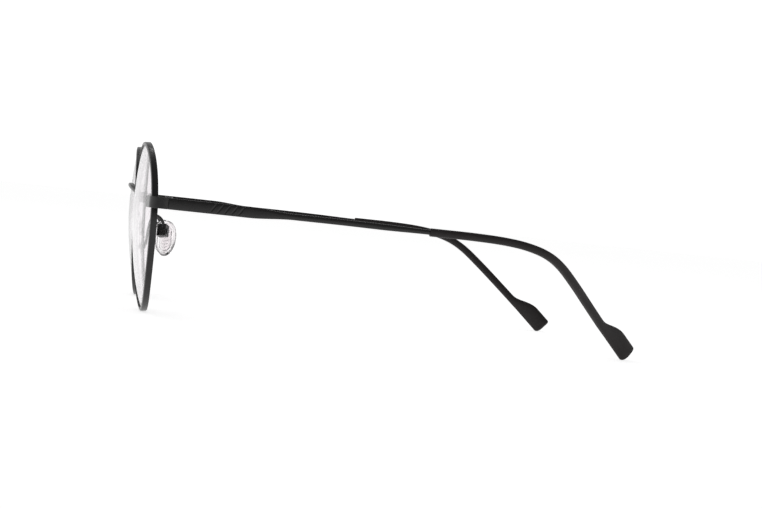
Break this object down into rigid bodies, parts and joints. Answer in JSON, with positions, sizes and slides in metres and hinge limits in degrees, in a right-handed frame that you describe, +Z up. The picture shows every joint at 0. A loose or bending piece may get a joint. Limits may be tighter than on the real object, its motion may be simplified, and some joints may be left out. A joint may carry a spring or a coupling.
{
  "type": "round wire eyeglasses",
  "caption": "Round full-rim wire eyeglasses with clear lenses, an arched bridge, tilting clear nose pads and folding flat-to-wire temples with curved ear tips.",
  "frame": {"origin": "centre of the footprint on the surface that the open glasses stand on", "axes": "+X to the wearer's left, +Y back along the temples, +Z up"},
  "size_m": [0.138, 0.141, 0.0454],
  "materials": {
    "black_metal": "satin black lacquer",
    "screw_steel": "dark satin",
    "tip_plastic": "soft matte black",
    "clear_lens": "polished, clear",
    "clear_silicone": "clear, soft gloss",
    "clear_core": "clear, gloss"
  },
  "bodies": {
    "front": {"bridge": "black_metal", "left_rim": "black_metal", "left_lens": "clear_lens", "left_closing_block_upper": "black_metal", "left_closing_block_lower": "black_metal", "left_rim_screw": "screw_steel", "left_endpiece": "black_metal", "left_hinge_front_leaf": "black_metal", "left_hinge_screw": "screw_steel", "left_pad_arm": "black_metal", "left_pad_box": "black_metal", "left_pad_screw": "screw_steel", "right_rim": "black_metal", "right_lens": "clear_lens", "right_closing_block_upper": "black_metal", "right_closing_block_lower": "black_metal", "right_rim_screw": "screw_steel", "right_endpiece": "black_metal", "right_hinge_front_leaf": "black_metal", "right_hinge_screw": "screw_steel", "right_pad_arm": "black_metal", "right_pad_box": "black_metal", "right_pad_screw": "screw_steel"},
    "left_temple_body": {"left_temple": "black_metal", "left_temple_tip": "tip_plastic", "left_hinge_temple_leaf": "black_metal"},
    "left_pad_body": {"left_nose_pad": "clear_silicone", "left_pad_core": "clear_core"},
    "right_temple_body": {"right_temple": "black_metal", "right_temple_tip": "tip_plastic", "right_hinge_temple_leaf": "black_metal"},
    "right_pad_body": {"right_nose_pad": "clear_silicone", "right_pad_core": "clear_core"}
  },
  "joints": [
    {"name": "left_temple_hinge", "type": "hinge", "parent": "front", "child": "left_temple_body", "pos_m": [0.06635, -0.06137, 0.02975], "axis": [0, 0, 1], "range_deg": [0, 82]},
    {"name": "right_temple_hinge", "type": "hinge", "parent": "front", "child": "right_temple_body", "pos_m": [-0.06635, -0.06137, 0.02975], "axis": [0, 0, -1], "range_deg": [0, 67]},
    {"name": "left_pad_tilt", "type": "hinge", "parent": "front", "child": "left_pad_body", "pos_m": [0.0119, -0.05967, 0.0214], "axis": [0.4465, 0.8829, 0.1451], "range_deg": [-8, 8]},
    {"name": "right_pad_tilt", "type": "hinge", "parent": "front", "child": "right_pad_body", "pos_m": [-0.0119, -0.05967, 0.0214], "axis": [-0.4465, 0.8829, 0.1451], "range_deg": [-8, 8]}
  ]
}
